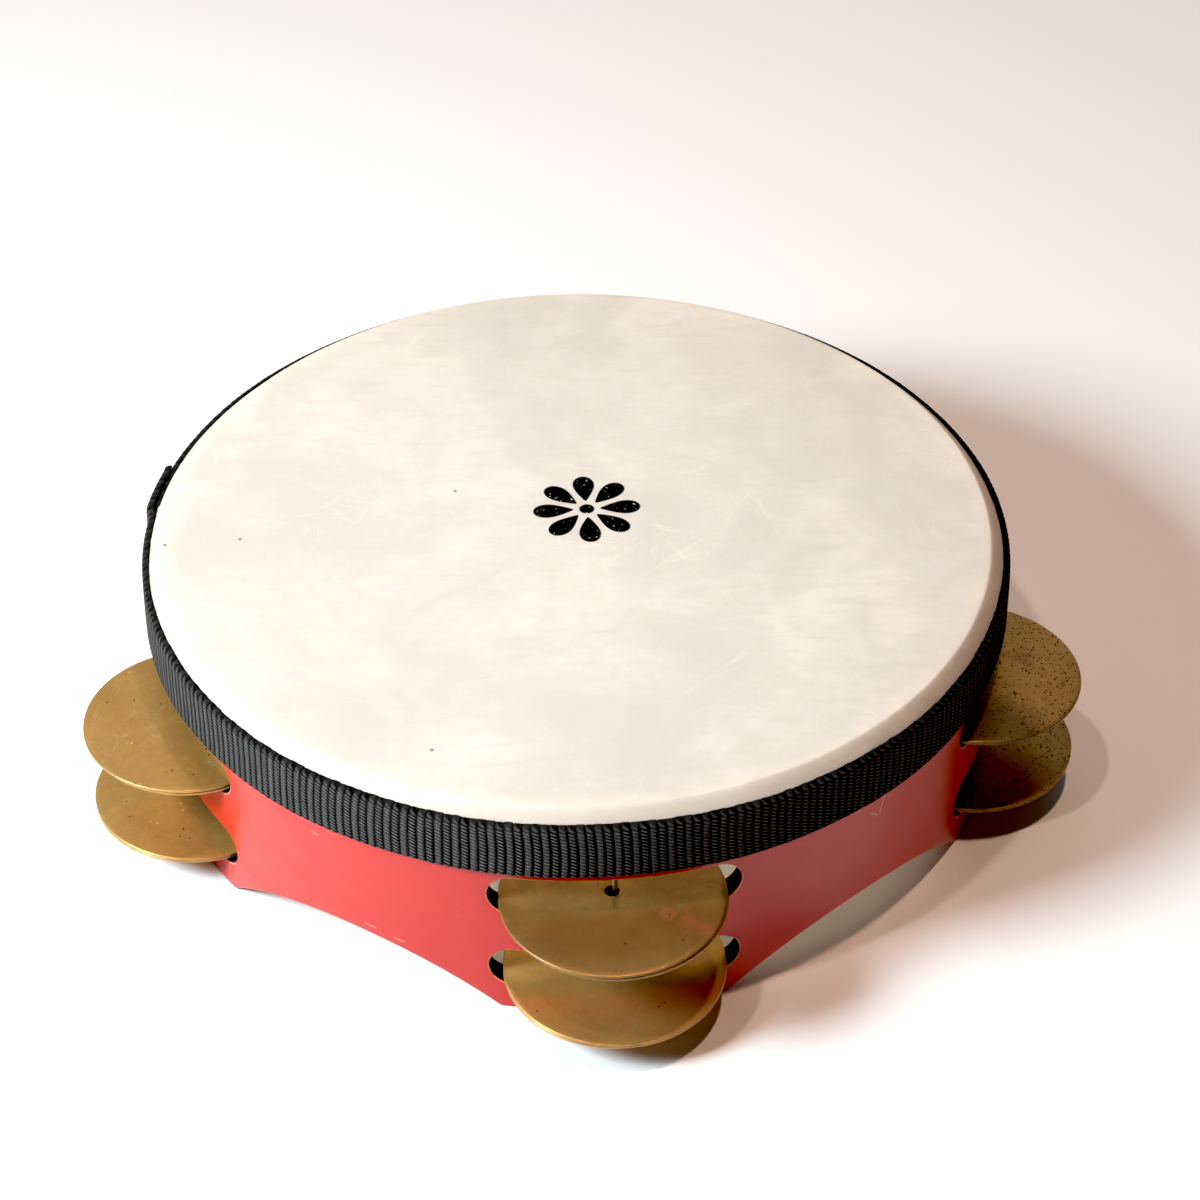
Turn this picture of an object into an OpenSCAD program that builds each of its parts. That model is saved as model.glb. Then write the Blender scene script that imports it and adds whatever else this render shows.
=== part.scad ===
// Tambourine: a bent-wood hoop with a drumhead drawn over its top edge, a webbing band that covers
// the head's collar, and five stations of brass jingles. Each station has two slots, one above the
// other, and one steel pin that crosses both. Each slot holds a pair of dished jingles, with their
// hollow sides together.
//
// The origin is the centre of the head's playing face, with +Z up out of the head.
// Station 1 faces -Y and the others follow anticlockwise, seen from above.

/* [Hoop] */
// Outer diameter of the hoop
hoop_d = 250; // [220:1:320]
// Thickness of the hoop's wall
wall_t = 7; // [6:0.5:9]
// Height from the feet to the playing face
overall_h = 73.5; // [70:0.5:90]
// Width of the sloping edge that the head is drawn over
bevel_w = 4; // [2:0.5:5]

/* [Feet] */
// Width of each foot, as an angle round the hoop
foot_angle = 29.6; // [20:0.2:40]
// Height of the arch between two feet
arch_h = 17; // [8:0.5:19]

/* [Slots] */
// Length of a slot, end to end
slot_l = 69; // [66:0.5:74]
// Height of a slot, which is also the width of its round ends
slot_h = 13; // [11:0.5:14]
// Height of the lower slots' centre line above the feet
lower_slot_z = 15.7; // [14:0.1:18]
// Height of the upper slots' centre line above the feet
upper_slot_z = 42.8; // [40:0.1:44]

/* [Jingles] */
// Diameter of a jingle
jingle_d = 62; // [56:0.5:64]
// Thickness of the brass sheet
jingle_t = 0.8; // [0.5:0.1:1]
// Height of the dish from rim to centre
dish_h = 1.4; // [1:0.1:2]
// Diameter of the hole that hangs on the pin
jingle_hole_d = 4; // [3:0.1:5]
// Gap between the rims of a pair at rest
rim_gap = 0.15; // [0.05:0.05:0.5]

/* [Pins] */
// Diameter of a pin's shank
pin_d = 1.6; // [1.2:0.1:2.4]
// Diameter of a pin's head
pin_head_d = 2.8; // [2.6:0.1:4]
// Distance from the middle of the wall inwards to the pins
pin_inset = 1.5; // [0:0.1:1.5]
// How far a pin enters the wood above the upper slot
pin_bite = 10; // [6:0.5:12]

/* [Head and band] */
// Thickness of the drumhead
head_t = 0.4; // [0.3:0.1:0.8]
// Height of the collar's lower edge above the feet
collar_z = 57; // [55:0.5:60]
// Thickness of the webbing
band_t = 1.7; // [1:0.1:2.4]
// Height of the webbing's lower edge above the feet
band_z = 52.7; // [52:0.1:54]
// Width of the webbing
band_w = 17.2; // [14:0.2:18]
// Direction of the webbing's free end
lap_start = 159.4; // [150:0.2:165]
// Length of the lap, as an angle round the hoop
lap_angle = 9; // [6:0.5:20]

/* [Hidden] */
$fn = 180;
// Tiny distance between pieces that touch on the real object
touch = 0.05;
// How far a cutting shape runs past the face it cuts
over = 1;

stations = 5;
station_step = 360 / stations;
SLOTS = ["lower", "upper"];
LAYERS = ["bottom", "top"];

hoop_r = hoop_d / 2;
hoop_top = overall_h - head_t - touch;
head_r = hoop_r + touch + head_t;
band_r = head_r + touch;
// A bevel grows by this share of each layer laid over it, so that every layer is equally thick
bevel_gain = 2 - sqrt(2);
slot_r = slot_h / 2;

band_top = band_z + band_w;
// How far the webbing's upper edge leans in over the bevel, with the same gap all the way up
band_lean = max(0, band_top - (overall_h + touch - bevel_w - (head_t + 2 * touch) * bevel_gain));
band_edge = 0.4;

arch_half_w = hoop_r * sin((station_step - foot_angle) / 2);
arch_r = (pow(arch_half_w, 2) + pow(arch_h, 2)) / (2 * arch_h);
arch_z = arch_h - arch_r;

pin_circle_r = hoop_r - wall_t / 2 - pin_inset;
pin_recess = 0.5;
pin_head_t = 1;
pin_top = upper_slot_z + slot_r + pin_bite;
pin_clear = 0.02;

jingle_r = jingle_d / 2;
dish_r = (pow(jingle_r, 2) + pow(dish_h, 2)) / (2 * dish_h);

function jingle_name(s, slot, layer) = str("jingle_", s, "_", slot, "_", layer);

function slot_z(slot) = slot == "upper" ? upper_slot_z : lower_slot_z;

// Height above the feet of the plane where a pair's lower jingle ends, at rest
function rim_z(slot) = slot_z(slot) - slot_r + touch + dish_h + jingle_t;

// Moves a shape drawn upwards from the feet into the part's frame
module from_feet() {
    translate([0, 0, -overall_h]) children();
}

// Turns a shape drawn along +X to face outwards at station s
module at_station(s) {
    rotate([0, 0, (s - 1) * station_step - 90]) children();
}

// Half section of a drum of radius r and height h, with its top edge bevelled by width bevel
module drum_section(r, h, bevel) {
    polygon([[0, 0], [r, 0], [r, h - bevel], [r - bevel, h], [0, h]]);
}

// Outline of a slot with round ends, centred on the origin
module slot_outline() {
    square([slot_l - slot_h, slot_h], center = true);
    for (side = [-1, 1]) translate([side * (slot_l / 2 - slot_r), 0]) circle(slot_r);
}

// Outline of the arch between two feet
module arch_outline() {
    translate([0, arch_z]) circle(arch_r);
}

// Cuts an outline, drawn as width by height, straight outwards through the wall
module through_wall() {
    translate([hoop_r - wall_t * 2, 0, 0])
        rotate([90, 0, 90]) linear_extrude(wall_t * 3) children();
}

module pin_hole() {
    translate([pin_circle_r, 0, -over]) {
        cylinder(d = pin_d + pin_clear, h = pin_top + over);
        cylinder(d = pin_head_d + pin_clear, h = pin_recess + pin_head_t + over);
    }
}

module hoop() {
    color("firebrick") from_feet() difference() {
        rotate_extrude() difference() {
            drum_section(hoop_r, hoop_top, bevel_w);
            translate([0, -over]) square([hoop_r - wall_t, hoop_top + 2 * over]);
        }
        for (s = [1 : stations]) {
            at_station(s) {
                for (slot = SLOTS) translate([0, 0, slot_z(slot)]) through_wall() slot_outline();
                pin_hole();
            }
            at_station(s + 0.5) through_wall() arch_outline();
        }
    }
}

module drumhead() {
    color("antiquewhite") from_feet() rotate_extrude() difference() {
        drum_section(head_r, overall_h, bevel_w + (touch + head_t) * bevel_gain);
        drum_section(hoop_r + touch, overall_h - head_t, bevel_w + touch * bevel_gain);
        square([head_r + over, collar_z]);
    }
}

// Section of the webbing, which lies against the collar and leans in over the bevel
module band_section() {
    outer = band_r + band_t;
    polygon([
        [band_r, band_z], [outer, band_z], [outer, band_top - band_edge], [outer - band_edge, band_top],
        [band_r - band_lean, band_top], [band_r, band_top - band_lean]
    ]);
}

// Section of the second layer at the lap, which starts in the middle of the first
module lap_section() {
    translate([band_r + band_t / 2, band_z]) square([band_t * 1.5, band_w - 2 * band_edge]);
}

module webbing_band() {
    color("dimgray") from_feet() {
        rotate_extrude() band_section();
        rotate([0, 0, lap_start]) rotate_extrude(angle = lap_angle) lap_section();
    }
}

module pin(s) {
    color("silver") from_feet() at_station(s) translate([pin_circle_r, 0, pin_recess]) {
        cylinder(d = pin_head_d, h = pin_head_t);
        cylinder(d = pin_d, h = pin_top - pin_recess - touch);
    }
}

// A dished disc of sheet brass, with its rim down and its dish upwards
module jingle() {
    color("darkgoldenrod") rotate_extrude() intersection() {
        translate([0, dish_h - dish_r]) difference() {
            circle(dish_r + jingle_t);
            circle(dish_r);
        }
        translate([jingle_hole_d / 2, -over])
            square([jingle_r - jingle_hole_d / 2, dish_h + jingle_t + 2 * over]);
    }
}

module hung_jingle(s, slot, layer) {
    from_feet() at_station(s) translate([pin_circle_r, 0, rim_z(slot)])
        if (layer == "top") translate([0, 0, rim_gap]) jingle();
        else mirror([0, 0, 1]) jingle();
}

hoop();
drumhead();
webbing_band();
for (s = [1 : stations]) {
    pin(s);
    for (slot = SLOTS, layer = LAYERS)
        hung_jingle(s, slot, layer);
}
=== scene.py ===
"""Looks of a headed tambourine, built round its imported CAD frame. Every length is in metres."""

import math
import random

import bmesh
import bpy
import numpy as np
from mathutils import Euler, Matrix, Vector
from mathutils.geometry import delaunay_2d_cdt


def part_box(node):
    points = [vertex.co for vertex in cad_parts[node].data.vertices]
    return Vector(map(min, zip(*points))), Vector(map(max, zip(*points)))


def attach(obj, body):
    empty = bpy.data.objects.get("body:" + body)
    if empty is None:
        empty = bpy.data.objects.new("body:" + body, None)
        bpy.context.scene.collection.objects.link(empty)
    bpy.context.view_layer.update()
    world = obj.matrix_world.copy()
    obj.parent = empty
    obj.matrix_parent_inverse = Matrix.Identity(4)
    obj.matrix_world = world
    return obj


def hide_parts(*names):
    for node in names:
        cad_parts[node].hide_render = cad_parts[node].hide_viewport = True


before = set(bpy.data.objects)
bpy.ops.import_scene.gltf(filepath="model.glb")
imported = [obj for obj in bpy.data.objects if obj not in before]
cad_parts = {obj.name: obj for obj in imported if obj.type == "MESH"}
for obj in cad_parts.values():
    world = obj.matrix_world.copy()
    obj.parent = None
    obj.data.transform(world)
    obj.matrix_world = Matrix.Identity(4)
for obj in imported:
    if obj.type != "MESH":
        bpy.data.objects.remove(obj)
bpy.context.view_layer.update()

MM = 0.001
TAU = math.tau
STATIONS = 5
STEP = TAU / STATIONS
SLOTS = ("lower", "upper")
LAYERS = ("bottom", "top")


def flat_radius(node, top):
    """Radius of the flat top of a CAD node, inside its bevel."""
    return max(v.co.xy.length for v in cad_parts[node].data.vertices if v.co.z > top - 1e-5)


# Sizes read from the frame
FEET_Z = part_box("hoop")[0].z
HOOP_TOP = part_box("hoop")[1].z
HOOP_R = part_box("hoop")[1].x
HOOP_IN = min(v.co.xy.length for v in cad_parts["hoop"].data.vertices)
HEAD_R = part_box("drumhead")[1].x
HOOP_FLAT_R = flat_radius("hoop", HOOP_TOP)
HEAD_FLAT_R = flat_radius("drumhead", 0.0)
COLLAR_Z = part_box("drumhead")[0].z
BAND_LOW, BAND_HIGH = (corner.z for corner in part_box("webbing_band"))
BAND_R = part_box("webbing_band")[1].x

# Sizes of the hoop's cuts and edges, as on the CAD hoop
SLOT_HALF = 34.5 * MM
SLOT_R = 6.5 * MM
SLOT_Z = {"lower": FEET_Z + 15.7 * MM, "upper": FEET_Z + 42.8 * MM}
FOOT_HALF = math.radians(14.8)
ARCH_H = 17 * MM
EDGE_R = 0.55 * MM
FOOT_R = 2 * MM

HEAD_T = 0.4 * MM
TOUCH = 0.05 * MM
BAND_IN = HEAD_R + TOUCH
BAND_T = BAND_R - BAND_IN
LAP_START = math.radians(159.4)
LAP_END = math.radians(168.4)


# ---------------------------------------------------------------- meshes

# Points nearer than this are one point, at the seams of a mesh
WELD = 1e-6


def new_piece(name, verts, faces, materials, slots=None, smooth=True):
    """A mesh object from points and faces, each face with its material's place in the list."""
    mesh = bpy.data.meshes.new(name)
    mesh.from_pydata([tuple(v) for v in verts], [], [tuple(f) for f in faces])
    for material in materials:
        mesh.materials.append(material)
    if slots is not None:
        mesh.polygons.foreach_set("material_index", slots)
    mesh.polygons.foreach_set("use_smooth", [smooth] * len(mesh.polygons))
    piece = bpy.data.objects.new(name, mesh)
    bpy.context.scene.collection.objects.link(piece)
    return piece


def face_outwards(piece, weld=0.0):
    """Turns every face outwards, after joining the points that lie within weld of each other."""
    bm = bmesh.new()
    bm.from_mesh(piece.data)
    if weld:
        bmesh.ops.remove_doubles(bm, verts=bm.verts, dist=weld)
    bmesh.ops.recalc_face_normals(bm, faces=bm.faces)
    bm.to_mesh(piece.data)
    bm.free()


class Builder:
    """Collects points and faces of one mesh, with a material for each face."""

    def __init__(self):
        self.verts, self.faces, self.slots = [], [], []

    def add(self, points):
        """Adds points and gives their numbers."""
        start = len(self.verts)
        self.verts.extend(points)
        return list(range(start, len(self.verts)))

    def strip(self, row_a, row_b, slot, closed=False):
        """Quads between two rows of equal length."""
        count = len(row_a)
        for i in range(count if closed else count - 1):
            j = (i + 1) % count
            self.faces.append((row_a[i], row_a[j], row_b[j], row_b[i]))
            self.slots.append(slot)


def corner(before, point, after, radius, steps=4):
    """Points of an arc that rounds one corner of a profile."""
    before, point, after = Vector(before), Vector(point), Vector(after)
    one, two = (before - point).normalized(), (after - point).normalized()
    half = one.angle(two) / 2
    centre = point + (one + two).normalized() * radius / math.sin(half)
    start = point + one * radius / math.tan(half) - centre
    sweep = math.pi - 2 * half
    if start.x * two.y - start.y * two.x < 0:
        sweep = -sweep
    turned = []
    for k in range(steps + 1):
        turn = sweep * k / steps
        x = start.x * math.cos(turn) - start.y * math.sin(turn)
        y = start.x * math.sin(turn) + start.y * math.cos(turn)
        turned.append((centre.x + x, centre.y + y))
    return turned


def lathe(builder, profile, slots, steps, wobble=None):
    """Turns a closed profile of (radius, height) about Z; slots holds one material for each stretch."""
    rings = []
    for radius, height in profile:
        ring = []
        for k in range(steps):
            angle = TAU * k / steps
            lift = wobble(radius, angle) if wobble else 0.0
            ring.append((radius * math.cos(angle), radius * math.sin(angle), height + lift))
        rings.append(builder.add(ring))
    for i, slot in enumerate(slots):
        builder.strip(rings[i], rings[(i + 1) % len(rings)], slot, closed=True)


# ---------------------------------------------------------------- hoop

RED, BURNT, RAW, BARE = range(4)
ARCH_HALF_W = HOOP_R * math.sin(STEP / 2 - FOOT_HALF)
ARCH_R = (ARCH_HALF_W**2 + ARCH_H**2) / (2 * ARCH_H)
ARCH_Z = ARCH_H - ARCH_R
FLARE_X = math.sqrt((ARCH_R + FOOT_R) ** 2 - (FOOT_R - ARCH_Z) ** 2)
# Steps of an arch's half, of a foot's rounded corner and of a foot's half
ARCH_STEPS, CORNER_STEPS, FOOT_STEPS = 36, 8, 14
# Steps of a slot's round end and of its straight side
CAP_STEPS, FLAT_STEPS = 18, 26
EDGE_STEPS = 4
# The wall's columns over one sector, and the spacing of its points up the wall
COLUMNS = 72
GRID_Z = 2.5 * MM
# How far those points keep away from the outlines and from the top
GRID_GAP, TOP_GAP = 1.1 * MM, 1 * MM


def foot_line(radius, inset):
    """The hoop's lower outline over one sector, as (angle, height), moved inset into the wood."""
    half = []
    end = math.atan2(FOOT_R - ARCH_Z, FLARE_X)
    for k in range(ARCH_STEPS + 1):
        turn = math.pi / 2 + (end - math.pi / 2) * k / ARCH_STEPS
        reach = ARCH_R + inset
        half.append((reach * math.cos(turn), ARCH_Z + reach * math.sin(turn)))
    for k in range(1, CORNER_STEPS + 1):
        turn = end + math.pi + (1.5 * math.pi - end - math.pi) * k / CORNER_STEPS
        reach = FOOT_R - inset
        half.append((FLARE_X + reach * math.cos(turn), FOOT_R + reach * math.sin(turn)))
    angles = [(STEP / 2 - math.asin(y / radius), FEET_Z + z) for y, z in half]
    foot_end, low = angles[-1]
    for k in range(1, FOOT_STEPS + 1):
        angles.append((foot_end * (1 - k / FOOT_STEPS), low))
    return [(-a, z) for a, z in angles] + angles[-2::-1]


def slot_line(radius, inset, centre_z):
    """A slot's outline as (angle, height), moved inset into the wood."""
    reach, straight = SLOT_R + inset, SLOT_HALF - SLOT_R
    points = []
    for side in (0, 1):
        turned = math.pi * side
        for k in range(CAP_STEPS + 1):
            turn = turned - math.pi / 2 + math.pi * k / CAP_STEPS
            x = straight * (1 - 2 * side) + reach * math.cos(turn)
            points.append((x, reach * math.sin(turn)))
        for k in range(1, FLAT_STEPS):
            x = straight * (1 - 2 * side) * (1 - 2 * k / FLAT_STEPS)
            points.append((x, reach * (1 - 2 * side)))
    return [(math.asin(x / radius), centre_z + z) for x, z in points]


def edge_rows():
    """(depth into the wall, inset into the wood) of each row from the outer face to the inner face."""
    wall = HOOP_R - HOOP_IN
    turns = [math.pi / 2 * k / EDGE_STEPS for k in range(EDGE_STEPS + 1)]
    outer = [(EDGE_R * (1 - math.cos(t)), EDGE_R * (1 - math.sin(t))) for t in turns]
    return outer + [(wall - depth, inset) for depth, inset in reversed(outer)]


def wall_face(radius, low_line, slot_lines, top_z):
    """Triangles of one face of the wall over one sector, between its outlines."""
    top_line = [(STEP / 2 - STEP * k / COLUMNS, top_z) for k in range(COLUMNS + 1)]
    seam_low = low_line[-1][1]
    rises = round((top_z - seam_low) / GRID_Z)
    right = [(STEP / 2, seam_low + (top_z - seam_low) * k / rises) for k in range(1, rises)]
    left = [(-a, z) for a, z in reversed(right)]
    loops = [low_line + right + top_line + left] + slot_lines
    flat, polygons = [], []
    for loop in loops:
        polygons.append(list(range(len(flat), len(flat) + len(loop))))
        flat.extend(Vector((a * radius, z)) for a, z in loop)
    outline = np.array(flat)
    rows = math.ceil((top_z - FEET_Z) / GRID_Z)
    for i in range(1, COLUMNS):
        for k in range(1, rows):
            spot = np.array(((-STEP / 2 + STEP * i / COLUMNS) * radius, FEET_Z + k * GRID_Z))
            if spot[1] < top_z - TOP_GAP and np.hypot(*(outline - spot).T).min() > GRID_GAP:
                flat.append(Vector(spot))
    points, _, faces, _, _, owners = delaunay_2d_cdt(flat, [], polygons, 1, 1e-9)
    kept = [f for f, owner in zip(faces, owners) if list(owner) == [0]]
    return [(p.x / radius, p.y) for p in points], kept


def build_hoop(materials):
    """The bent-wood hoop, with its slots and arches; every edge but the bevel's is rounded over."""
    builder = Builder()
    rows = edge_rows()
    outer_top, inner_top = HOOP_TOP - (HOOP_R - HOOP_FLAT_R), HOOP_TOP - EDGE_R

    def place(points, radius, sector):
        """Wraps (angle, height) points round the hoop, in one sector."""
        turn = sector * STEP - math.pi / 2
        return [(radius * math.cos(a + turn), radius * math.sin(a + turn), z) for a, z in points]

    faces = {}
    for name, radius, top_z in (("outer", HOOP_R, outer_top), ("inner", HOOP_IN, inner_top)):
        holes = [slot_line(radius, EDGE_R, SLOT_Z[s]) for s in SLOTS]
        faces[name] = wall_face(radius, foot_line(radius, EDGE_R), holes, top_z)
    for sector in range(STATIONS):
        for name, radius, slot in (("outer", HOOP_R, RED), ("inner", HOOP_IN, BARE)):
            points, triangles = faces[name]
            ids = builder.add(place(points, radius, sector))
            for triangle in triangles:
                builder.faces.append([ids[i] for i in triangle])
                builder.slots.append(slot)
        for line in ["foot"] + list(SLOTS):
            previous = None
            for i, (depth, inset) in enumerate(rows):
                radius = HOOP_R - depth
                if line == "foot":
                    points = foot_line(radius, inset)
                else:
                    points = slot_line(radius, inset, SLOT_Z[line])
                ids = builder.add(place(points, radius, sector))
                if previous:
                    if i <= 2:
                        slot = RED if line == "foot" else RAW
                    elif i >= len(rows) - 2:
                        slot = BARE
                    else:
                        slot = RED if line == "foot" else BURNT
                    builder.strip(previous, ids, slot, closed=line != "foot")
                previous = ids
        top = [(HOOP_R, outer_top), (HOOP_FLAT_R, HOOP_TOP)]
        for k in range(EDGE_STEPS):
            turn = math.pi / 2 * k / (EDGE_STEPS - 1)
            inset, rise = EDGE_R * (1 - math.sin(turn)), EDGE_R * math.cos(turn)
            top.append((HOOP_IN + inset, inner_top + rise))
        previous = None
        for radius, z in top:
            points = [(STEP / 2 - STEP * k / COLUMNS, z) for k in range(COLUMNS + 1)]
            ids = builder.add(place(points, radius, sector))
            if previous:
                builder.strip(previous, ids, BARE)
            previous = ids
    hoop = new_piece("bent_wood_hoop", builder.verts, builder.faces, materials, builder.slots)
    face_outwards(hoop, WELD)
    return hoop


# ---------------------------------------------------------------- head


def build_head(material):
    """The drumhead: a thin film, bent down over the hoop's bevel, with a collar outside."""
    bevel = HEAD_R - HEAD_FLAT_R
    under_bevel = bevel - HEAD_T * (2 - math.sqrt(2))
    steps, rings, collar_rings = 288, 48, 4

    def half_section(radius, top, width, bend):
        """From the flat to the collar's lower edge, with the two bends rounded."""
        edge, foot, end = (radius - width, top), (radius, top - width), (radius, COLLAR_Z)
        flat = [((radius - width) * k / rings, top) for k in range(1, rings)]
        bends = corner((0, top), edge, foot, bend) + corner(edge, foot, end, bend)
        drop = (COLLAR_Z - foot[1]) / collar_rings
        return flat + bends + [(radius, foot[1] + drop * k) for k in range(1, collar_rings + 1)]

    outer = half_section(HEAD_R, 0.0, bevel, 0.9 * MM)
    inner = half_section(HEAD_R - HEAD_T, -HEAD_T, under_bevel, 0.5 * MM)
    profile = outer + inner[::-1]
    builder = Builder()
    lathe(builder, profile, [0] * (len(profile) - 1), steps)
    for start, height in ((0, 0.0), (len(builder.verts) - steps, -HEAD_T)):
        centre = builder.add([(0.0, 0.0, height)])[0]
        for k in range(steps):
            builder.faces.append((start + k, start + (k + 1) % steps, centre))
            builder.slots.append(0)
    head = new_piece("film_head", builder.verts, builder.faces, [material], builder.slots)
    face_outwards(head, WELD)
    return head


# ---------------------------------------------------------------- webbing

RIBS = 330
RIB_STEPS = 8
RIB_RISE = 0.3 * MM
# Threads across the webbing's width
THREADS = 15
# The height where the webbing starts to lean in over the bevel
LEAN_Z = HEAD_FLAT_R - HEAD_R
# How far round the free end curls away, and how far round the lapped layer comes down
CURL, RAMP = math.radians(1.6), math.radians(2.6)


def build_webbing(material):
    """Ribbed webbing: one strip round the collar, leaning in over the bevel, its free end lapped."""
    rng = random.Random(11)
    turns = 1 + (LAP_END - LAP_START) / TAU
    columns = round(RIBS * RIB_STEPS * turns)
    ragged = [rng.uniform(-1, 1) for _ in range(RIBS + 60)]
    body = BAND_T - RIB_RISE
    height = BAND_HIGH - BAND_LOW
    # Across the strip: share of the width, then share of the thickness, from the back to the front
    section = [(0.0, 0.0), (0.0, 0.6), (0.012, 0.88), (0.035, 1.0)]
    section += [(0.035 + 0.915 * k / 9, 1.0) for k in range(1, 10)]
    section += [(0.975, 0.86), (0.99, 0.64), (1.0, 0.35), (1.0, 0.0), (0.93, 0.0), (0.5, 0.0)]
    verts, weave = [], []
    for c in range(columns + 1):
        rib = c / RIB_STEPS
        angle = LAP_START + TAU * rib / RIBS
        free = max(0.0, 1 - (angle - LAP_START) / CURL)
        step = min(1.0, max(0.0, (LAP_END + RAMP - angle) / RAMP))
        over_lap = step * step * (3 - 2 * step)
        base = BAND_IN + over_lap * (BAND_T + TOUCH) + free * free * 0.4 * MM
        phase = 2 * (rib % 1.0) - 1
        crown = math.sqrt(max(0.0, 1 - abs(phase) ** 2.6))
        loop = 0.07 * MM * crown + 0.08 * MM * ragged[int(rib)]
        sway = 0.3 * MM * over_lap + 0.1 * MM * math.sin(3 * angle) + 0.08 * MM * math.sin(11 * angle)
        slack = 0.12 * MM * (1 + math.sin(4 * angle + 0.6)) + 0.08 * MM * (1 + math.sin(13 * angle))
        for across, thick in section:
            z = BAND_LOW + sway + height * across + loop * (2 * across - 1)
            lean = max(0.0, z - LEAN_Z) * (1 - 0.5 * thick)
            rise = RIB_RISE * crown * (1 - 0.7 * across**3)
            radius = base + thick * (body + rise) - lean + slack * thick * (1 - across)
            bend = math.radians(0.22) * math.sin(math.pi * across) * math.sin(7 * angle + 1)
            slant = bend + (across - 0.5) * math.radians(0.3) * math.sin(5 * angle)
            verts.append((radius * math.cos(angle + slant), radius * math.sin(angle + slant), z))
            weave.append((rib, across))
    rows = len(section)
    faces = []
    for c in range(columns):
        for r in range(rows):
            a, b = c * rows + r, c * rows + (r + 1) % rows
            faces.append((a, a + rows, b + rows, b))
    faces.append(tuple(range(rows)))
    faces.append(tuple(columns * rows + r for r in range(rows)))
    band = new_piece("ribbed_webbing", verts, faces, [material])
    face_outwards(band)
    uv = band.data.uv_layers.new(name="weave")
    for loop in band.data.loops:
        uv.data[loop.index].uv = weave[loop.vertex_index]
    return band


# ---------------------------------------------------------------- jingles

SHEET = 0.8 * MM
HOLE_R = 2 * MM
RIM_R = 0.28 * MM
# Height of each of the two waves that put a disc's rim out of true
BUCKLE = 0.025 * MM


def build_jingle(name, node, material, turned, shift, wave):
    """A dished brass disc with rounded rims, in the place of one CAD jingle, dish down if turned."""
    low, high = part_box(node)
    radius = (high.x - low.x) / 2
    dish = high.z - low.z - SHEET
    bow = (radius**2 + dish**2) / (2 * dish)

    def under(r):
        """Height of the sheet's hollow side."""
        return math.sqrt(bow**2 - r**2) - bow + dish

    def rounded(edge, middle, start):
        """A half turn clockwise round the sheet's edge, in two quarters with a straight between them."""
        points = []
        for k in range(1, 6):
            turn = start - math.pi * k / 6
            up = round(math.sin(turn), 6)
            rise = under(edge) + SHEET / 2 + (SHEET / 2 - RIM_R) * ((up > 0) - (up < 0))
            points.append((middle + RIM_R * math.cos(turn), rise + RIM_R * math.sin(turn)))
        return points

    reach = [HOLE_R + RIM_R + (radius - HOLE_R - 2 * RIM_R) * k / 20 for k in range(21)]
    profile = [(r, under(r) + SHEET) for r in reach]
    profile += rounded(radius, radius - RIM_R, math.pi / 2)
    profile += [(r, under(r)) for r in reversed(reach)]
    profile += rounded(HOLE_R, HOLE_R + RIM_R, -math.pi / 2)

    def wobble(r, angle):
        """How far the disc is out of true."""
        share = (r / radius) ** 2
        return share * BUCKLE * (math.sin(2 * angle + wave) + math.sin(3 * angle - 2 * wave))

    builder = Builder()
    lathe(builder, profile, [0] * len(profile), 144, wobble)
    middle = (low + high) / 2
    top = dish + SHEET
    verts = []
    for x, y, z in builder.verts:
        rise = top - z if turned else z
        verts.append((x + middle.x + shift.x, y + middle.y + shift.y, low.z + rise))
    disc = new_piece(name, verts, builder.faces, [material], builder.slots)
    face_outwards(disc, WELD)
    return disc


# ---------------------------------------------------------------- shader building


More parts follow.
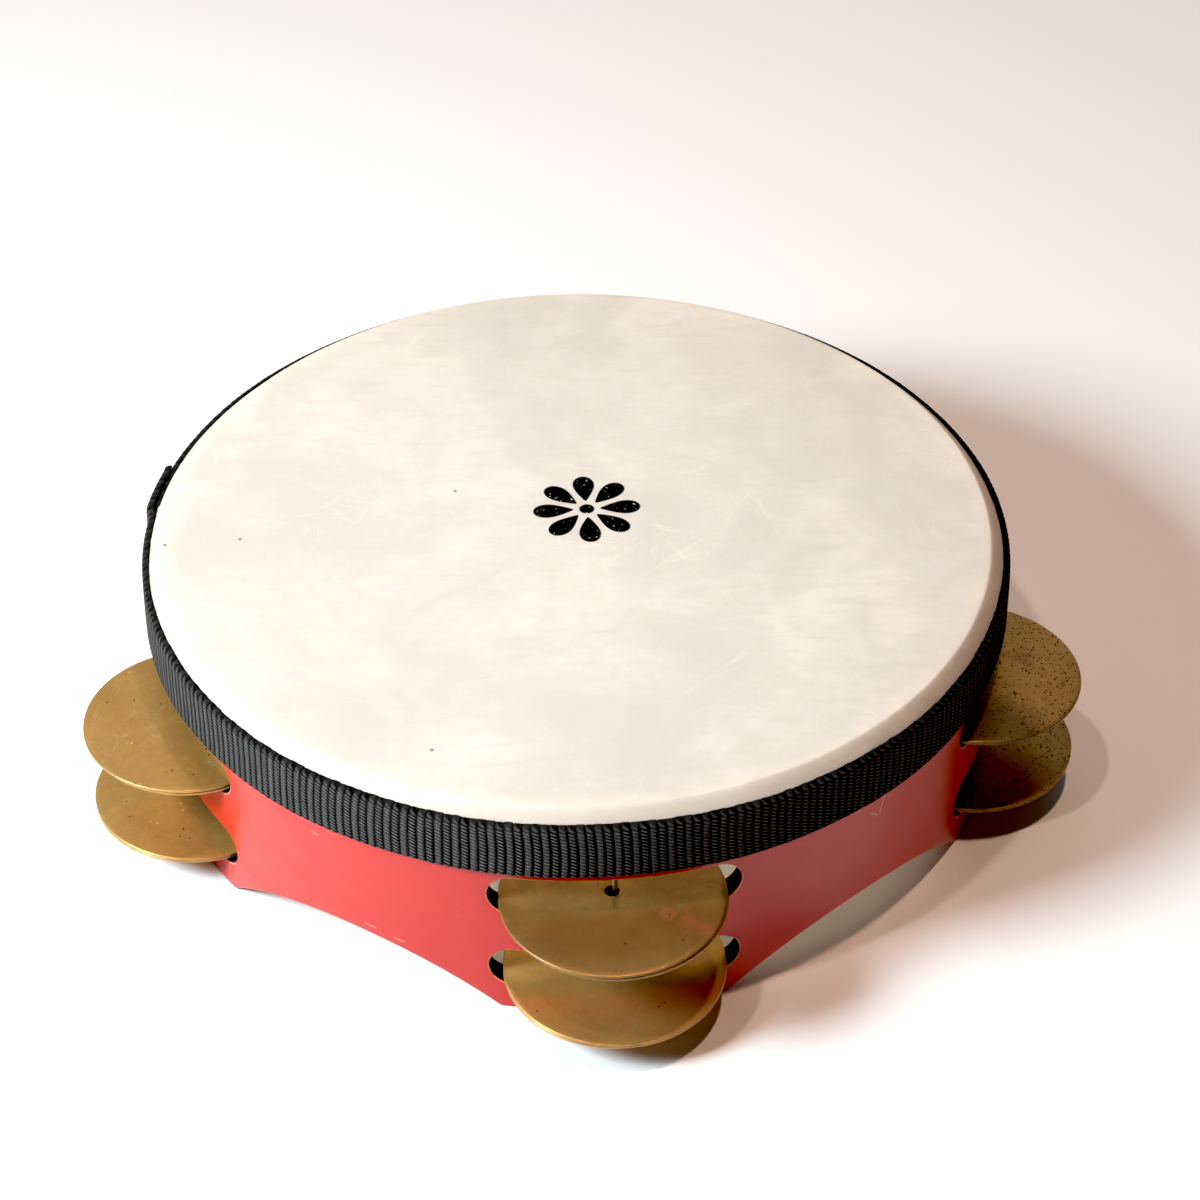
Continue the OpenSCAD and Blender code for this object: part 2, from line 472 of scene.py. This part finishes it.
class Shader:
    """A node material under construction."""

    def __init__(self, name):
        self.material = bpy.data.materials.new(name)
        self.material.use_nodes = True
        self.tree = self.material.node_tree
        self.surface = self.tree.nodes["Principled BSDF"]

    def feed(self, socket, value):
        """Gives an input a value, a colour or another node's output."""
        if isinstance(value, bpy.types.NodeSocket):
            self.tree.links.new(value, socket)
        elif socket.type == "RGBA" and len(value) == 3:
            socket.default_value = (*value, 1.0)
        else:
            socket.default_value = value

    def node(self, kind, inputs=(), **settings):
        """Adds a node, with its settings and its first inputs."""
        node = self.tree.nodes.new(f"ShaderNode{kind}")
        for key, value in settings.items():
            setattr(node, key, value)
        for socket, value in zip(node.inputs, inputs):
            self.feed(socket, value)
        return node

    def finish(self, **inputs):
        """Sets the main shader's inputs by name, with _ for a space, and gives the material."""
        for key, value in inputs.items():
            self.feed(self.surface.inputs[key.replace("_", " ")], value)
        return self.material

    def place(self, scale=(1, 1, 1), turn=0.0):
        """The object's own coordinates, turned about Z and then scaled."""
        where = self.node("TexCoord").outputs["Object"]
        turned = self.node("Mapping", [where, (0, 0, 0), (0, 0, turn)]).outputs[0]
        return self.node("Mapping", [turned, (0, 0, 0), (0, 0, 0), scale]).outputs[0]

    def calc(self, operation, a, b=0.0):
        """Adds a sum, product or other operation on two values."""
        return self.node("Math", [a, b], operation=operation).outputs[0]

    def noise(self, where, scale, detail=3.0, rough=0.5, distort=0.0):
        """Cloud noise whose features are about 1 / scale metres wide."""
        node = self.node("TexNoise", [where])
        settings = {"Scale": scale, "Detail": detail, "Roughness": rough, "Distortion": distort}
        for key, value in settings.items():
            node.inputs[key].default_value = value
        return node.outputs["Fac"]

    def ease(self, value, low, high, to_low=0.0, to_high=1.0):
        """Carries low..high over to to_low..to_high, and holds beyond both ends."""
        return self.node("MapRange", [value, low, high, to_low, to_high]).outputs[0]

    def lines(self, where, scale, width, distort=0.0):
        """Thin wandering lines: where a noise crosses its middle."""
        noise = self.noise(where, scale, 2.0, 0.5, distort)
        off = self.calc("ABSOLUTE", self.calc("SUBTRACT", noise, 0.5))
        return self.ease(off, 0.0, width, 1.0, 0.0)

    def spots(self, where, scale, size, share):
        """Round specks, one in the middle of some of the cells of size 1 / scale."""
        cells = self.node("TexVoronoi", [where])
        cells.inputs["Scale"].default_value = scale
        shade = self.node("SeparateColor", [cells.outputs["Color"]]).outputs[0]
        reach = self.calc("MULTIPLY", self.ease(shade, 1 - share, 1.0), size)
        return self.ease(self.calc("SUBTRACT", cells.outputs["Distance"], reach), -0.05, 0.05, 1.0, 0.0)

    def near(self, where, x, y, reach):
        """A soft spot round one point of a flat face."""
        away = self.node("VectorMath", [where, (x, y, 0)], operation="DISTANCE").outputs["Value"]
        return self.ease(away, 0.5 * reach, reach, 1.0, 0.0)

    def stroke(self, u, v, start, end, width):
        """A straight scratch between two points of a flat or unrolled face."""
        length = math.dist(start, end)
        along_u, along_v = (end[0] - start[0]) / length, (end[1] - start[1]) / length
        du = self.calc("SUBTRACT", u, (start[0] + end[0]) / 2)
        dv = self.calc("SUBTRACT", v, (start[1] + end[1]) / 2)
        along = self.calc("ADD", self.calc("MULTIPLY", du, along_u), self.calc("MULTIPLY", dv, along_v))
        one, two = self.calc("MULTIPLY", dv, along_u), self.calc("MULTIPLY", du, along_v)
        across = self.calc("SUBTRACT", one, two)
        inside = self.ease(self.calc("ABSOLUTE", along), 0.4 * length, 0.5 * length, 1.0, 0.0)
        thin = self.ease(self.calc("ABSOLUTE", across), 0.0, width, 1.0, 0.0)
        return self.calc("MULTIPLY", inside, thin)

    def mix(self, share, a, b, blend="MIX"):
        """Blends colour a towards colour b by share."""
        node = self.node("Mix", data_type="RGBA", blend_type=blend)
        for place, value in ((0, share), (6, a), (7, b)):
            self.feed(node.inputs[place], value)
        return node.outputs[2]

    def bump(self, height, distance, normal=None):
        """A normal for a height of 0..1 that stands for distance metres."""
        node = self.node("Bump")
        self.feed(node.inputs["Height"], height)
        node.inputs["Distance"].default_value = distance
        if normal:
            self.feed(node.inputs["Normal"], normal)
        return node.outputs[0]


# ---------------------------------------------------------------- materials


# Ends of the scratches on the lacquer, as (length round the hoop, height) in millimetres
SCRATCHES = [
    ((-113.1, -22.1), (-115.6, -30.3)),
    ((-119.4, -26.8), (-115.6, -30.3)),
    ((-268.5, -53.6), (-264.5, -54.1)),
    ((-259.5, -55.4), (-255.8, -56.0)),
    ((-284.5, -26.7), (-282.0, -27.1)),
]


def red_lacquer():
    """Bright red lacquer over bent wood: faint grain, cloudy gloss, a few pale scuffs and scratches."""
    s = Shader("red_lacquer")
    grain = s.noise(s.place((1, 1, 9)), 90, 5, 0.6)
    clouds = s.noise(s.place(), 22, 3, 0.5, 0.6)
    colour = s.mix(s.ease(clouds, 0.35, 0.68), (0.44, 0.008, 0.005), (0.50, 0.016, 0.010))
    colour = s.mix(s.ease(grain, 0.4, 0.75, 0.0, 0.12), colour, (0.34, 0.006, 0.004))
    wear = s.ease(s.noise(s.place(), 35, 2), 0.58, 0.66)
    scuffs = s.lines(s.place((1, 1, 4)), 60, 0.004, 1.0)
    scuffs = s.calc("MULTIPLY", scuffs, s.calc("MULTIPLY", wear, 0.35))
    parts = s.node("SeparateXYZ", [s.place()])
    angle = s.calc("ARCTAN2", parts.outputs[1], parts.outputs[0])
    round_hoop = s.calc("MULTIPLY", angle, HOOP_R / MM)
    height = s.calc("MULTIPLY", parts.outputs[2], 1 / MM)
    for start, end in SCRATCHES:
        scuffs = s.calc("MAXIMUM", scuffs, s.stroke(round_hoop, height, start, end, 0.5))
    colour = s.mix(s.calc("MULTIPLY", scuffs, 0.45), colour, (0.75, 0.36, 0.30))
    rough = s.ease(s.noise(s.place(), 70, 4), 0.3, 0.7, 0.28, 0.40)
    ripple = s.bump(s.noise(s.place((1, 1, 3)), 45, 2), 0.2 * MM)
    normal = s.bump(grain, 0.012 * MM, ripple)
    coat = {"Coat_Weight": 0.2, "Coat_Roughness": 0.25}
    return s.finish(Base_Color=colour, Roughness=rough, Normal=normal, **coat)


def burnt_wood():
    """The charred walls of a routed slot."""
    s = Shader("burnt_wood")
    grain = s.noise(s.place((1, 1, 8)), 260, 4, 0.65)
    colour = s.mix(s.ease(grain, 0.35, 0.7), (0.004, 0.003, 0.002), (0.028, 0.014, 0.008))
    return s.finish(Base_Color=colour, Roughness=0.75, Normal=s.bump(grain, 0.15 * MM))


def raw_edge():
    """Where the cutter broke the lacquer at a slot's edge: bare, orange-stained wood."""
    s = Shader("raw_edge")
    worn = s.noise(s.place(), 420, 4, 0.6)
    colour = s.mix(s.ease(worn, 0.35, 0.62), (0.42, 0.045, 0.02), (0.62, 0.26, 0.10))
    return s.finish(Base_Color=colour, Roughness=0.6, Normal=s.bump(worn, 0.1 * MM))


def bare_wood():
    """The unpainted inside of the hoop, with the grain running round."""
    s = Shader("bare_wood")
    grain = s.noise(s.place((1, 1, 14)), 60, 6, 0.65, 0.3)
    fine = s.noise(s.place((1, 1, 10)), 320, 3)
    colour = s.mix(s.ease(grain, 0.35, 0.68), (0.52, 0.36, 0.22), (0.74, 0.58, 0.38))
    colour = s.mix(s.ease(fine, 0.5, 0.72, 0.0, 0.35), colour, (0.30, 0.18, 0.09))
    return s.finish(Base_Color=colour, Roughness=0.68, Normal=s.bump(fine, 0.08 * MM))


# The ornament's petals, radius and centre
PETALS = 8
MOTIF_R = 16 * MM
MOTIF_X, MOTIF_Y = 3.7 * MM, 7.1 * MM
# Where a petal is widest, as a share of the radius
PETAL_MIDDLE = 0.62


def rosette(s):
    """The printed ornament's mask: a plain ring of petals round a dot."""
    centre = (MOTIF_X, MOTIF_Y, 0)
    where = s.node("VectorMath", [s.place((1, 1, 0)), centre], operation="SUBTRACT").outputs[0]
    parts = s.node("SeparateXYZ", [where])
    x, y = parts.outputs[0], parts.outputs[1]
    distance = s.node("VectorMath", [where], operation="LENGTH").outputs["Value"]
    reach = s.calc("DIVIDE", distance, MOTIF_R)
    turn = s.calc("MULTIPLY", s.calc("ARCTAN2", y, x), PETALS / 2)
    lobe = s.calc("ABSOLUTE", s.calc("COSINE", turn))
    along = s.calc("DIVIDE", s.calc("SUBTRACT", reach, PETAL_MIDDLE), 1 - PETAL_MIDDLE)
    bulge = s.calc("SUBTRACT", 1.0, s.calc("MULTIPLY", along, along))
    petal = s.calc("SUBTRACT", s.calc("MULTIPLY", bulge, 0.62), s.calc("SUBTRACT", 1.0, lobe))
    inside = s.ease(petal, 0.0, 0.05)
    dot = s.ease(reach, 0.13, 0.15, 1.0, 0.0)
    return s.calc("MAXIMUM", inside, dot)


# Small brown flaws in the film, as (x, y) in millimetres
FLAWS = [(-98.2, 2.1), (-34.5, 19.4), (-47.1, -95.1), (-120.0, 1.3)]


def film_head():
    """Cream fibre film, cloudy and a little see-through, with a printed ornament."""
    s = Shader("fibre_film")
    clouds = s.noise(s.place(turn=0.5), 19, 6, 0.66, 0.7)
    blots = s.noise(s.place(turn=1.1), 60, 6, 0.7, 0.4)
    streaks = s.noise(s.place((1, 5, 1), 0.06), 55, 5, 0.7, 0.3)
    grit = s.noise(s.place(), 900, 3, 0.7)
    colour = s.mix(s.ease(clouds, 0.38, 0.60), (0.875, 0.878, 0.873), (0.974, 0.982, 0.984))
    colour = s.mix(s.ease(blots, 0.45, 0.70, 0.0, 0.75), colour, (0.872, 0.874, 0.862))
    colour = s.mix(s.ease(streaks, 0.50, 0.68, 0.0, 0.75), colour, (0.872, 0.870, 0.855))
    colour = s.mix(s.ease(grit, 0.45, 0.8, 0.0, 0.25), colour, (0.91, 0.895, 0.868))
    strength = s.ease(s.noise(s.place(), 30, 2), 0.42, 0.62)
    for turn, scale in ((0.3, 9), (1.4, 11), (2.5, 8)):
        thread = s.lines(s.place((1, 6, 1), turn), scale, 0.004, 1.0)
        thread = s.calc("MULTIPLY", s.calc("MULTIPLY", thread, strength), 0.8)
        colour = s.mix(thread, colour, (1.0, 0.995, 0.985))
    flat = s.place((1, 1, 0))
    for x, y in FLAWS:
        flaw = s.calc("MULTIPLY", s.near(flat, x * MM, y * MM, 0.7 * MM), 0.8)
        colour = s.mix(flaw, colour, (0.30, 0.13, 0.04))
    print_wear = s.ease(s.noise(s.place(), 700, 3, 0.6), 0.30, 0.36)
    height = s.node("SeparateXYZ", [s.place()]).outputs[2]
    # The ornament is on the upper face only
    on_top = s.ease(height, -0.3 * MM, -0.1 * MM)
    printed = s.calc("MULTIPLY", s.calc("MULTIPLY", rosette(s), print_wear), on_top)
    colour = s.mix(printed, colour, (0.006, 0.006, 0.006))
    # Painted shade: the film is darkened on the lower part of its bevel and on its collar, where it lies
    # on the wood
    painted_bevel_shade = s.ease(height, -1.6 * MM, -0.4 * MM, 1.0, 0.0)
    colour = s.mix(painted_bevel_shade, colour, (0.95, 0.935, 0.91), "MULTIPLY")
    rough = s.ease(blots, 0.3, 0.7, 0.42, 0.55)
    normal = s.bump(blots, 0.15 * MM, s.bump(grit, 0.02 * MM))
    material = s.finish(Base_Color=colour, Roughness=rough, Normal=normal)
    glow = s.node("BsdfTranslucent", [s.mix(1.0, colour, (1.0, 0.94, 0.83), "MULTIPLY")])
    both = s.node("MixShader", [0.64, s.surface.outputs[0], glow.outputs[0]])
    s.tree.links.new(both.outputs[0], s.tree.nodes["Material Output"].inputs["Surface"])
    return material


def webbing_cloth():
    """Black woven tape: slanted threads on each rib, every other rib plainer, with grey fuzz."""
    s = Shader("webbing_cloth")
    weave = s.node("UVMap", uv_map="weave").outputs[0]
    parts = s.node("SeparateXYZ", [weave])
    rib, across = parts.outputs[0], parts.outputs[1]
    side = s.calc("SUBTRACT", s.calc("FRACT", rib), 0.5)
    phase = s.calc("ABSOLUTE", side)
    plain = s.calc("MULTIPLY", s.calc("FRACT", s.calc("MULTIPLY", s.calc("FLOOR", rib), 0.5)), 0.6)
    twist = s.calc("ADD", s.calc("MULTIPLY", across, THREADS), s.calc("MULTIPLY", side, 0.8))
    thread = s.calc("ABSOLUTE", s.calc("SINE", s.calc("MULTIPLY", twist, math.pi)))
    thread = s.calc("MAXIMUM", s.calc("POWER", thread, 3.0), plain)
    crown = s.ease(phase, 0.16, 0.48, 1.0, 0.0)
    fuzz = s.noise(s.place(), 2600, 3, 0.7)
    dust = s.noise(s.place(), 160, 4, 0.6)
    base = s.mix(s.ease(dust, 0.35, 0.7), (0.003, 0.003, 0.003), (0.009, 0.009, 0.009))
    lit = s.calc("MULTIPLY", s.calc("MULTIPLY", thread, crown), s.ease(fuzz, 0.35, 0.65, 0.35, 1.0))
    # Painted shade: the grey of the threads fades towards the right, the side away from the window, and
    # on the upper edge
    painted_shade_rightward = s.ease(s.node("SeparateXYZ", [s.place()]).outputs[0], -30 * MM, 20 * MM, 1.0, 0.6)
    # Painted shade on the upper edge, where the lamp would light the leaning cloth
    bent = s.ease(across, 0.90, 0.98, 1.0, 0.35)
    colour = s.mix(s.calc("MULTIPLY", s.calc("MULTIPLY", lit, painted_shade_rightward), bent), base, (0.205, 0.192, 0.185))
    normal = s.bump(s.calc("MULTIPLY", thread, crown), 0.25 * MM, s.bump(fuzz, 0.08 * MM))
    return s.finish(Base_Color=colour, Roughness=0.9, Normal=normal, Specular_IOR_Level=0.1)


def aged_brass(name, shade, tarnish, speckle, scratch, patches=()):
    """Old sheet brass. The shade share darkens it as painted shade; the other three shares say how
    brown, speckled and scratched it is.
    """
    s = Shader(name)
    clouds = s.noise(s.place(), 55, 5, 0.6, 0.4)
    mottle = s.noise(s.place(), 420, 4, 0.65)
    colour = s.mix(s.ease(clouds, 0.35, 0.68), (0.78, 0.445, 0.145), (0.64, 0.345, 0.11))
    colour = s.mix(s.ease(mottle, 0.45, 0.75, 0.0, 0.40), colour, (0.52, 0.28, 0.085))
    stain = s.ease(s.noise(s.place(turn=0.9), 80, 5, 0.65, 0.8), 0.60 - 0.2 * tarnish, 0.72)
    colour = s.mix(s.calc("MULTIPLY", stain, 0.7), colour, (0.44, 0.24, 0.095))
    flat = s.place((1, 1, 0))
    worn = s.ease(s.noise(s.place(), 260, 4, 0.6), 0.3, 0.7, -2 * MM, 2 * MM)
    # Copper patches are stains; the olive ones on station 2 are a painted reflection of the dark hoop
    # side
    for x, y, reach, patch, strength in patches:
        away = s.node("VectorMath", [flat, (x * MM, y * MM, 0)], operation="DISTANCE").outputs["Value"]
        share = s.ease(s.calc("ADD", away, worn), 0.6 * reach * MM, reach * MM, strength, 0.0)
        colour = s.mix(share, colour, patch)
    # Painted shade: the brass colour is darkened by the share for its station and pair
    colour = s.mix(1.0, colour, (shade, shade, shade), "MULTIPLY")
    fine = s.spots(s.place(), 1150, 0.42, speckle)
    coarse = s.spots(s.place(turn=1), 480, 0.26, speckle * 0.3)
    dark = s.calc("MAXIMUM", fine, coarse)
    colour = s.mix(dark, colour, (0.02, 0.012, 0.005))
    along = s.lines(s.place((1, 5, 1), 0.7), 30, 0.006)
    across = s.lines(s.place((5, 1, 1), 0.3), 26, 0.006)
    nicks = s.spots(s.place(turn=2), 420, 0.16, 0.10)
    hairlines = s.calc("MULTIPLY", s.calc("MAXIMUM", along, across), 0.2)
    flecks = s.calc("MULTIPLY", s.calc("MAXIMUM", hairlines, nicks), scratch)
    colour = s.mix(flecks, colour, (0.90, 0.75, 0.45))
    rough = s.calc("ADD", s.ease(mottle, 0.3, 0.7, 0.28, 0.38), s.calc("MULTIPLY", dark, 0.3))
    metal = s.ease(s.calc("MAXIMUM", dark, s.calc("MULTIPLY", stain, 0.5)), 0.0, 1.0, 0.70, 0.4)
    normal = s.bump(mottle, 0.015 * MM, s.bump(clouds, 0.12 * MM))
    return s.finish(Base_Color=colour, Roughness=rough, Metallic=metal, Normal=normal)


def pin_steel():
    """Plain steel wire, slightly stained."""
    s = Shader("pin_steel")
    stain = s.noise(s.place((1, 1, 0.4)), 500, 4, 0.6)
    colour = s.mix(s.ease(stain, 0.5, 0.75), (0.52, 0.50, 0.47), (0.24, 0.15, 0.09))
    return s.finish(Base_Color=colour, Roughness=s.ease(stain, 0.3, 0.7, 0.25, 0.45), Metallic=1.0)


# What the camera sees beyond the floor
BACKDROP = (0.87, 0.855, 0.84, 1.0)
# Where the floor starts to fade into the backdrop, and where it has faded
FADE_START, FADE_END = 0.65, 1.3


def pale_floor():
    """A matt white table top that fades into the backdrop far away, and is clear from below."""
    s = Shader("pale_floor")
    s.finish(Base_Color=(0.74, 0.74, 0.74), Roughness=0.7)
    away = s.node("VectorMath", [s.place()], operation="LENGTH").outputs["Value"]
    seen = s.node("LightPath").outputs["Is Camera Ray"]
    far = s.calc("MULTIPLY", s.ease(away, FADE_START, FADE_END), seen)
    backdrop = s.node("Emission", [BACKDROP]).outputs[0]
    above = s.node("MixShader", [far, s.surface.outputs[0], backdrop]).outputs[0]
    below = s.node("NewGeometry").outputs["Backfacing"]
    both = s.node("MixShader", [below, above, s.node("BsdfTransparent").outputs[0]])
    s.tree.links.new(both.outputs[0], s.tree.nodes["Material Output"].inputs["Surface"])
    return s.material


# ---------------------------------------------------------------- assembly

ROOT = "hoop_assembly"
# Painted shade on the brass of the lower and the upper pair at each station: each colour is darkened by
# this share
PAINTED_SHADE_LEVELS = {"lower": (0.74, 0.52, 0.75, 0.75, 0.74), "upper": (0.43, 0.57, 0.75, 0.75, 0.70)}
# How brown, how speckled and how scratched the brass is at each station
AGEING = [(0.9, 0.01, 0.15), (0.3, 1.0, 0.10), (0.4, 0.25, 0.20), (0.4, 0.25, 0.20), (0.8, 0.02, 0.60)]
# How far each disc hangs off its pin's centre, in millimetres, and each pair's direction in degrees
HANG = {"lower": {"bottom": 1.0, "top": 0.9}, "upper": {"bottom": 0.0, "top": 0.75}}
LEAN = {"lower": (80, 115, 20, 200, 90), "upper": (180, 215, 40, 220, 180)}
COPPER = (0.95, 0.36, 0.16)
# Painted reflection: dark olive standing for the hoop side mirrored in the brass
OLIVE_PAINTED_REFLECTION = (0.20, 0.13, 0.055)
# Patches of another colour on one pair: x, y and radius in millimetres, colour and strength. The copper
# ones are stains; the olive ones are a painted reflection of the dark hoop side.
PATCHES = {
    (1, "upper"): [
        (19.1, -133, 4.5, COPPER, 0.9),
        (13.5, -129.5, 2.6, COPPER, 0.8),
        (23.5, -136, 2.8, COPPER, 0.8),
    ],
    (2, "upper"): [(112, -68, 22, OLIVE_PAINTED_REFLECTION, 0.8)],
    (2, "lower"): [(112, -62, 20, OLIVE_PAINTED_REFLECTION, 0.2)],
}


def stand_in(piece, node, body):
    """Makes a piece ride a body in place of a CAD node."""
    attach(piece, body)
    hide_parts(node)


def build_station(station, steel):
    """A station's pin, which keeps the CAD's shape, and its four discs."""
    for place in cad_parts[f"pin_{station}"].material_slots:
        place.material = steel
    for pair in SLOTS:
        patches = PATCHES.get((station, pair), ())
        shade = PAINTED_SHADE_LEVELS[pair][station - 1]
        brass = aged_brass(f"brass_{station}_{pair}", shade, *AGEING[station - 1], patches)
        lean = math.radians(LEAN[pair][station - 1])
        for layer in LAYERS:
            node = f"jingle_{station}_{pair}_{layer}"
            name = node.replace("jingle", "brass")
            shift = HANG[pair][layer] * MM * Vector((math.cos(lean), math.sin(lean)))
            disc = build_jingle(name, node, brass, layer == "bottom", shift, lean)
            stand_in(disc, node, node)


woods = [red_lacquer(), burnt_wood(), raw_edge(), bare_wood()]
stand_in(build_hoop(woods), "hoop", ROOT)
stand_in(build_head(film_head()), "drumhead", ROOT)
stand_in(build_webbing(webbing_cloth()), "webbing_band", ROOT)
steel = pin_steel()
for station in range(1, STATIONS + 1):
    build_station(station, steel)


# ---------------------------------------------------------------- studio

# Each light's name, azimuth and elevation in degrees, distance and size in metres, power and colour
LIGHTS = [
    ("window", 202, 34, 0.96, 0.28, 21.2, (0.78, 0.905, 0.96)),
    ("lamp", 331, 82, 1.8, 0.07, 14.5, (1.0, 0.63, 0.46)),
    ("far_lamp", 217, 71, 1.8, 0.07, 7, (1.0, 0.77, 0.64)),
    ("wall", 90, 38, 1.9, 3.0, 13.5, (0.95, 1.0, 0.97)),
]
# The camera's lens in millimetres, its place, and its heading, tilt and roll in degrees
LENS = 95.34
CAMERA_AT = (-0.0586, -0.7341, 0.5713)
CAMERA_TURN = (5.10, 39.17, -0.14)
# What the darkest tones are lowered by
BLACK_LEVEL = 0.018


def build_studio():
    """A pale floor, the surroundings, and soft light that comes mostly from a window on the left."""
    bpy.ops.mesh.primitive_plane_add(size=8, location=(0, 0, FEET_Z))
    floor = bpy.context.object
    floor.name = "floor"
    floor.data.materials.append(pale_floor())
    build_world()
    for name, azimuth, elevation, distance, size, power, colour in LIGHTS:
        add_light(name, azimuth, elevation, distance, size, power, colour)


def build_world():
    """Surroundings that give little light, though they look pale to the camera."""
    world = bpy.data.worlds.new("world")
    bpy.context.scene.world = world
    world.use_nodes = True
    tree = world.node_tree
    dim = tree.nodes["Background"]
    dim.inputs["Color"].default_value = (1.0, 0.85, 0.75, 1)
    dim.inputs["Strength"].default_value = 0.035
    pale = tree.nodes.new("ShaderNodeBackground")
    pale.inputs["Color"].default_value = BACKDROP
    path = tree.nodes.new("ShaderNodeLightPath")
    both = tree.nodes.new("ShaderNodeMixShader")
    tree.links.new(path.outputs["Is Camera Ray"], both.inputs[0])
    tree.links.new(dim.outputs[0], both.inputs[1])
    tree.links.new(pale.outputs[0], both.inputs[2])
    tree.links.new(both.outputs[0], tree.nodes["World Output"].inputs["Surface"])


def add_light(name, azimuth, elevation, distance, size, power, colour):
    """A square soft light that looks at the drumhead's centre."""
    light = bpy.data.objects.new(name, bpy.data.lights.new(name, "AREA"))
    light.data.size = size
    light.data.energy = power
    light.data.color = colour
    turn, rise = math.radians(azimuth), math.radians(elevation)
    level = distance * math.cos(rise)
    light.location = (level * math.cos(turn), level * math.sin(turn), distance * math.sin(rise))
    light.rotation_euler = (-light.location).to_track_quat("-Z", "Y").to_euler()
    bpy.context.scene.collection.objects.link(light)


def build_camera():
    """The camera, at the height, distance and heading of a person's eye over the table."""
    camera = bpy.data.objects.new("camera", bpy.data.cameras.new("camera"))
    camera.data.sensor_width = 36
    camera.data.lens = LENS
    camera.location = CAMERA_AT
    heading, tilt, roll = (math.radians(a) for a in CAMERA_TURN)
    ahead = math.cos(tilt)
    forward = Vector((math.sin(heading) * ahead, math.cos(heading) * ahead, -math.sin(tilt)))
    level = forward.to_track_quat("-Z", "Y")
    camera.rotation_mode = "QUATERNION"
    camera.rotation_quaternion = level @ Euler((0, 0, roll)).to_quaternion()
    bpy.context.scene.collection.objects.link(camera)
    bpy.context.scene.camera = camera


def set_tones():
    """Plain tones with slightly deepened blacks, as a camera gives."""
    view = bpy.context.scene.view_settings
    view.view_transform = "Standard"
    view.use_curve_mapping = True
    view.curve_mapping.black_level = (BLACK_LEVEL, BLACK_LEVEL, BLACK_LEVEL)
    view.curve_mapping.update()


build_studio()
build_camera()
set_tones()
